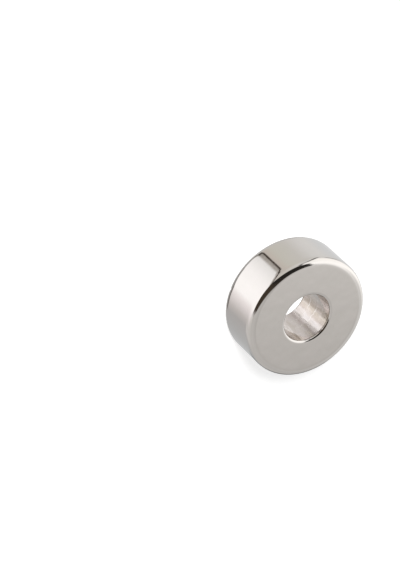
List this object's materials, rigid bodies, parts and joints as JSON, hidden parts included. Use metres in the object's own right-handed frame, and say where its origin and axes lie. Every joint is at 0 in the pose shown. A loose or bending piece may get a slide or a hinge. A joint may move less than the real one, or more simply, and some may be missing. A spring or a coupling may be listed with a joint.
{
  "type": "ring magnet",
  "caption": "Thick round ring magnet in bright nickel, with flat ground faces, rounded edges and a straight plain bore through its centre.",
  "frame": {"origin": "centre of the lower face, on the ring's axis", "axes": "+Z along the ring's axis, from the lower face to the upper face; +X and +Y are any two square directions across it, as the ring is round"},
  "size_m": [0.013, 0.013, 0.005],
  "materials": {
    "nickel_plating": "bright nickel plating, mirror smooth on the faces and the rim, slightly duller and streaked in the bore"
  },
  "bodies": {
    "root": {"ring_magnet": "nickel_plating"}
  },
  "joints": []
}
